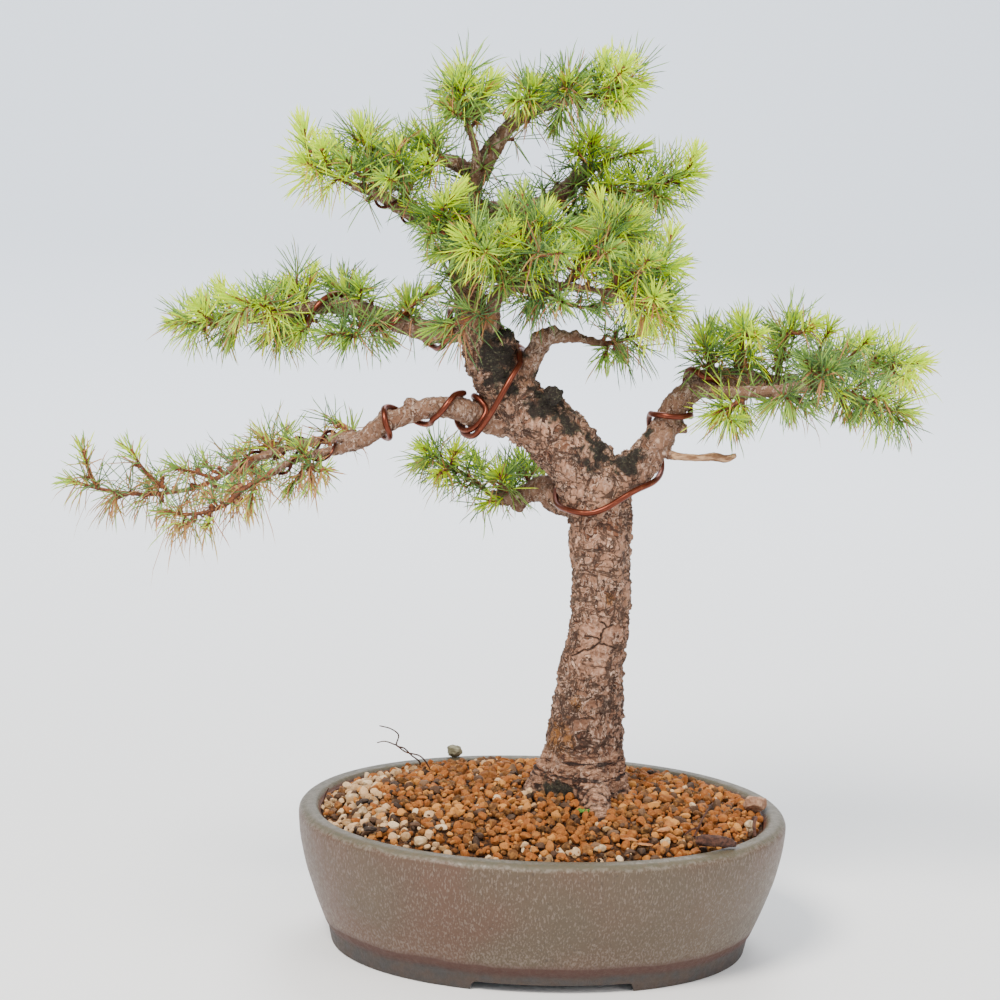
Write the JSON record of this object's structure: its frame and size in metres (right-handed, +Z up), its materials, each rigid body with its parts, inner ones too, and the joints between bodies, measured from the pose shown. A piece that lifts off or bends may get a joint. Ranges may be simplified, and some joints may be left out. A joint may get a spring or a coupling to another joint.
{
  "type": "european larch bonsai in an oval glazed pot",
  "caption": "Wired informal-upright larch tree with needle tufts on spreading limbs, growing in gravel in a shallow oval glazed pot on two feet.",
  "frame": {"origin": "on the ground, below the middle of the whole part's box", "axes": "+X along the pot's length towards the limb side with the dead stub, +Y towards the pot's back, +Z up"},
  "size_m": [0.5128, 0.234, 0.5378],
  "materials": {
    "glazed_clay": "satin brown-grey stoneware glaze with fine pale specks, unglazed reddish foot",
    "gravel": "dry ochre and tan clay granules with a few cream pumice grains",
    "bark": "rough grey-pink plated bark with dark cracks and lichen",
    "anodised_wire": "satin copper-brown anodised",
    "needles": "soft needles from deep green to bright lime",
    "plastic_mesh": "plain moulded black mesh",
    "stone": "rough grey-green stone",
    "dead_wood": "dry dark bark and root fibre"
  },
  "bodies": {
    "root": {"bark_chip": "dead_wood", "drain_screen_left": "plastic_mesh", "drain_screen_right": "plastic_mesh", "dry_rootlet": "dead_wood", "pot": "glazed_clay", "rim_stone": "stone", "soil": "gravel", "spray_back_left_far": "needles", "spray_back_left_near": "needles", "spray_back_left_up": "needles", "spray_crown_back": "needles", "spray_crown_back_right": "needles", "spray_crown_far": "needles", "spray_crown_front": "needles", "spray_crown_left": "needles", "spray_crown_low_far": "needles", "spray_crown_mid": "needles", "spray_crown_right": "needles", "spray_crown_small": "needles", "spray_crown_under": "needles", "spray_left_top_far": "needles", "spray_left_top_mid": "needles", "spray_left_top_near": "needles", "spray_left_top_stub": "needles", "spray_low_left_back": "needles", "spray_low_left_far": "needles", "spray_low_left_front": "needles", "spray_low_left_mid": "needles", "spray_low_left_near": "needles", "spray_low_left_under": "needles", "spray_mid_left_far": "needles", "spray_mid_left_front": "needles", "spray_mid_left_low": "needles", "spray_mid_left_mid": "needles", "spray_mid_left_near": "needles", "spray_mid_left_top": "needles", "spray_mid_left_under": "needles", "spray_notch": "needles", "spray_right_far": "needles", "spray_right_low_far": "needles", "spray_right_low_mid": "needles", "spray_right_near": "needles", "spray_right_plume": "needles", "spray_right_star": "needles", "spray_right_top": "needles", "spray_right_top_far": "needles", "spray_right_top_up": "needles", "spray_right_under": "needles", "spray_top_far": "needles", "spray_top_left": "needles", "spray_top_mid": "needles", "spray_top_right": "needles", "tree": "bark", "wire_left_pair": "anodised_wire", "wire_low_left_back": "anodised_wire", "wire_low_left_front": "anodised_wire", "wire_right": "anodised_wire", "wire_upper_left": "anodised_wire"}
  },
  "joints": []
}
